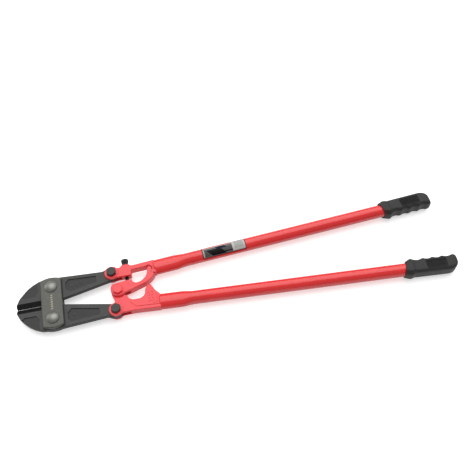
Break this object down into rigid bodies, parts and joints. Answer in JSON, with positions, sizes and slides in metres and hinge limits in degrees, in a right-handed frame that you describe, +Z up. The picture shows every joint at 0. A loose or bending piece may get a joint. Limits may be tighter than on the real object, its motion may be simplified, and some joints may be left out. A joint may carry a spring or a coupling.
{
  "type": "bolt cutters",
  "caption": "Long-handled compound-lever bolt cutters with bevelled jaws, side plates, forged handle heads, an adjuster arm and screw, tube handles and moulded grips.",
  "frame": {"origin": "under the middle of the tool, on the surface it lies on", "axes": "+X from the jaws to the grips, +Y across the tool to the adjuster screw's side, +Z up out of the front face"},
  "size_m": [0.9127, 0.2058, 0.036],
  "materials": {
    "jaw_steel": "forged, black oxide, satin",
    "plate_steel": "black oxide over a ground face, satin",
    "bolt_satin": "satin steel",
    "bolt_dark": "black oxide, satin",
    "screw_black": "black oxide, knurled",
    "red_casting": "powder coat over a casting, satin",
    "red_bolt": "powder coat over a bolt, satin",
    "red_tube": "gloss powder coat on steel tube",
    "grip_rubber": "moulded, matt with fine texture",
    "label_film": "printed film"
  },
  "bodies": {
    "jaw_plates": {"front_side_plate": "plate_steel", "rear_side_plate": "plate_steel", "upper_jaw_bolt": "bolt_satin", "lower_jaw_bolt": "bolt_satin", "upper_jaw_nut": "bolt_dark", "lower_jaw_nut": "bolt_dark"},
    "upper_jaw": {"upper_jaw": "jaw_steel"},
    "lower_jaw": {"lower_jaw": "jaw_steel"},
    "upper_handle": {"upper_handle_head": "red_casting", "upper_handle_tube": "red_tube", "upper_grip": "grip_rubber", "upper_link_bolt": "bolt_dark", "upper_link_nut": "bolt_dark", "upper_link_spring_washer": "bolt_dark", "handle_label": "label_film"},
    "adjuster_arm": {"adjuster_arm": "red_casting", "centre_bolt": "red_bolt", "centre_nut": "bolt_dark", "centre_spring_washer": "bolt_dark"},
    "adjuster_screw": {"adjuster_screw": "screw_black"},
    "lower_handle": {"lower_handle_head": "red_casting", "lower_handle_tube": "red_tube", "lower_grip": "grip_rubber", "lower_link_bolt": "bolt_dark", "lower_link_nut": "bolt_dark", "lower_link_spring_washer": "bolt_dark"}
  },
  "joints": [
    {"name": "upper_jaw_pivot", "type": "hinge", "parent": "jaw_plates", "child": "upper_jaw", "pos_m": [-0.3849, 0.0352, 0.018], "axis": [0, 0, -1], "range_deg": [-0.17, 7.72]},
    {"name": "lower_jaw_pivot", "type": "hinge", "parent": "jaw_plates", "child": "lower_jaw", "pos_m": [-0.3849, -0.0352, 0.018], "axis": [0, 0, 1], "range_deg": [-0.17, 7.72]},
    {"name": "upper_handle_pivot", "type": "hinge", "parent": "upper_jaw", "child": "upper_handle", "pos_m": [-0.2601, 0.0427, 0.018], "axis": [0, 0, 1], "range_deg": [-1, 49.7]},
    {"name": "lower_handle_pivot", "type": "hinge", "parent": "lower_jaw", "child": "lower_handle", "pos_m": [-0.2601, -0.0427, 0.018], "axis": [0, 0, -1], "range_deg": [-1.02, 49.72]},
    {"name": "adjuster_screw_turn", "type": "hinge", "parent": "upper_handle", "child": "adjuster_screw", "pos_m": [-0.2305, 0.0575, 0.018], "axis": [0, 1, 0], "range_deg": [-165, 165]},
    {"name": "adjuster_arm_pivot", "type": "hinge", "parent": "upper_handle", "child": "adjuster_arm", "pos_m": [-0.1822, 0.0376, 0.018], "axis": [0, 0, 1], "range_deg": [-0.69, 0.69]}
  ],
  "couplings": [
    {"joint": "upper_jaw_pivot", "follows": "upper_handle_pivot", "ratio": 0.15493},
    {"joint": "lower_jaw_pivot", "follows": "upper_handle_pivot", "ratio": 0.15493},
    {"joint": "lower_handle_pivot", "follows": "upper_handle_pivot", "ratio": 1},
    {"joint": "adjuster_arm_pivot", "follows": "adjuster_screw_turn", "ratio": 0.004119}
  ]
}
